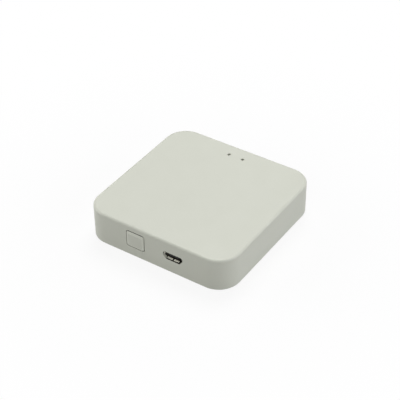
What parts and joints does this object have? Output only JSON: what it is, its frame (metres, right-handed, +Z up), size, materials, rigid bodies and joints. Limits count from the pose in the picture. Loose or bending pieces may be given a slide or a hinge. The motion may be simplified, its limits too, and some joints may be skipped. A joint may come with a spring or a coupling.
{
  "type": "smart irrigation controller hub",
  "caption": "Small square plug-in radio hub for garden valves, with rounded corners, a push key and a micro-USB socket in its front and status pinholes on top.",
  "frame": {"origin": "centre of the footprint, on the plane of the feet's undersides", "axes": "+Z up, -Y towards the front face with the key and the socket, +X to the right seen from the front"},
  "size_m": [0.06, 0.06, 0.0137],
  "materials": {
    "housing_plastic": "fine matt grain, warm off-white",
    "foot_rubber": "matt dark rubber",
    "circuit_board": "green solder mask over glass laminate",
    "module_board": "black solder mask over glass laminate",
    "zinc_screw": "zinc-plated steel",
    "clear_plastic": "polished clear plastic",
    "lamp_resin": "pale resin on a white base",
    "black_plastic": "black engineering plastic",
    "steel_sheet": "stamped nickel-plated steel",
    "tinned_sheet": "tinned steel sheet",
    "gold_contact": "gold-plated copper alloy",
    "chip_resin": "dark moulding resin with tinned ends",
    "ferrite": "dark grey sintered ferrite",
    "ceramic": "tan ceramic with tinned ends"
  },
  "bodies": {
    "housing": {"base_cover": "housing_plastic", "board_screws": "zinc_screw", "chip_capacitors": "ceramic", "chip_resistors": "chip_resin", "foot_back_left": "foot_rubber", "foot_back_right": "foot_rubber", "foot_front_left": "foot_rubber", "foot_front_right": "foot_rubber", "input_capacitor": "ceramic", "light_guide": "clear_plastic", "main_board": "circuit_board", "output_capacitor": "ceramic", "power_inductor": "ferrite", "radio_board": "module_board", "radio_chip": "chip_resin", "radio_crystal": "steel_sheet", "radio_shield": "tinned_sheet", "resettable_fuse": "chip_resin", "status_led_left": "lamp_resin", "status_led_right": "lamp_resin", "surge_diode": "chip_resin", "switch_base": "black_plastic", "switch_dome": "steel_sheet", "switch_frame": "steel_sheet", "switch_terminals": "steel_sheet", "top_housing": "housing_plastic", "usb_contacts": "gold_contact", "usb_insulator": "black_plastic", "usb_shell": "steel_sheet", "voltage_converter": "chip_resin", "wifi_board": "module_board", "wifi_chip": "chip_resin", "wifi_crystal": "steel_sheet", "wifi_flash": "chip_resin", "wifi_shield": "tinned_sheet"},
    "key": {"reset_key": "housing_plastic"},
    "plunger": {"switch_plunger": "black_plastic"}
  },
  "joints": [
    {"name": "key_press", "type": "slide", "parent": "housing", "child": "key", "axis": [0, 1, 0], "range_m": [0, 0.0003], "stiffness_N_per_m": 1500},
    {"name": "switch_press", "type": "slide", "parent": "housing", "child": "plunger", "axis": [0, 1, 0], "range_m": [0, 0.0003], "deforming": ["switch_dome"]}
  ],
  "couplings": [
    {"joint": "switch_press", "follows": "key_press", "ratio": 1}
  ]
}
